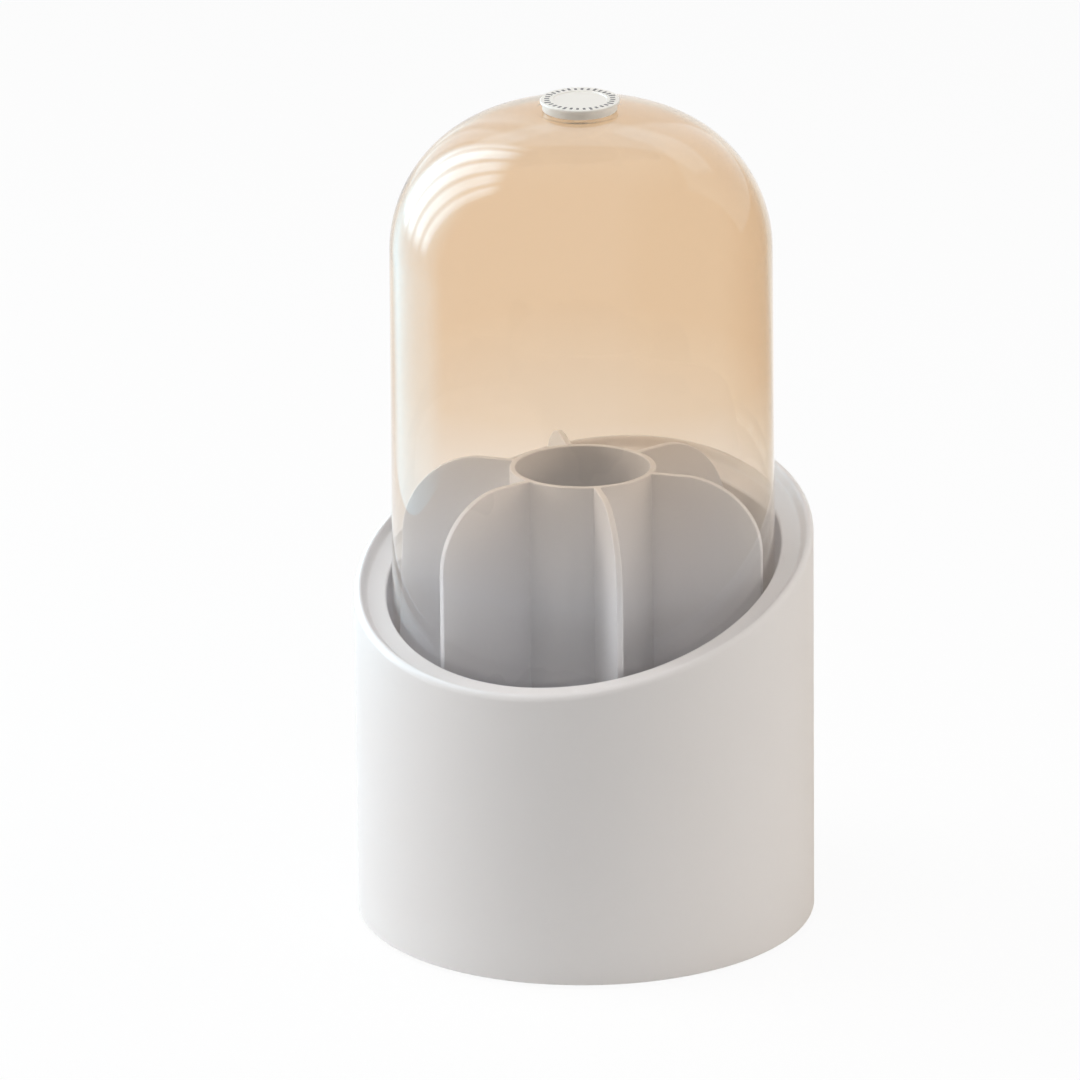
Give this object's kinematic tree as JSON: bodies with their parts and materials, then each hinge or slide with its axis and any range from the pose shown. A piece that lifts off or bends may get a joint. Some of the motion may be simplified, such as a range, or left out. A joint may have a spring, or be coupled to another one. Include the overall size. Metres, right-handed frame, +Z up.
{
  "type": "rotating cosmetics brush pot",
  "caption": "Round turning pot for brushes and make-up: slanted-rim base, ball-bearing cup with a fin divider and centre tube, and a lift-off clear dome with a knob.",
  "frame": {"origin": "on the table, on the pot's vertical axis, at the underside of the feet", "axes": "+Z up along the turning axis; the low side of the slanted rim faces -Y and its high side +Y"},
  "size_m": [0.14, 0.14, 0.2596],
  "materials": {
    "shell_white": "satin-gloss moulded white plastic",
    "divider_white": "smooth moulded white plastic",
    "inner_white": "fine matt moulded white plastic",
    "cage_plastic": "natural unpainted plastic",
    "dome_clear": "polished clear plastic with a pale amber tint",
    "knob_white": "gloss moulded white plastic",
    "knob_mark": "printed dark grey marks",
    "steel": "bright zinc-plated steel",
    "foot_rubber": "matt pale grey rubber"
  },
  "bodies": {
    "base": {"outer_shell": "shell_white", "bottom_plate": "inner_white", "bottom_screws": "steel", "foot_1": "foot_rubber", "foot_2": "foot_rubber", "foot_3": "foot_rubber", "foot_4": "foot_rubber"},
    "cage": {"ball_cage": "cage_plastic", "bearing_balls": "steel"},
    "rotor": {"turntable": "inner_white", "pivot_washer": "steel", "pivot_screw": "steel", "inner_cup": "divider_white", "cup_screws": "steel", "divider": "divider_white"},
    "lid": {"dome": "dome_clear", "knob_body": "knob_white", "knob_cap": "knob_white", "knob_washer": "inner_white", "knob_screw": "steel"}
  },
  "joints": [
    {"name": "rotor_turn", "type": "hinge", "parent": "base", "child": "rotor", "pos_m": [0, 0, 0.0062], "axis": [0, 0, 1], "continuous": true},
    {"name": "cage_turn", "type": "hinge", "parent": "base", "child": "cage", "pos_m": [0, 0, 0.0062], "axis": [0, 0, 1], "continuous": true},
    {"name": "lid_lift", "type": "slide", "parent": "rotor", "child": "lid", "axis": [0, 0, 1], "range_m": [0, 0.22]}
  ],
  "couplings": [
    {"joint": "cage_turn", "follows": "rotor_turn", "ratio": 0.5}
  ]
}
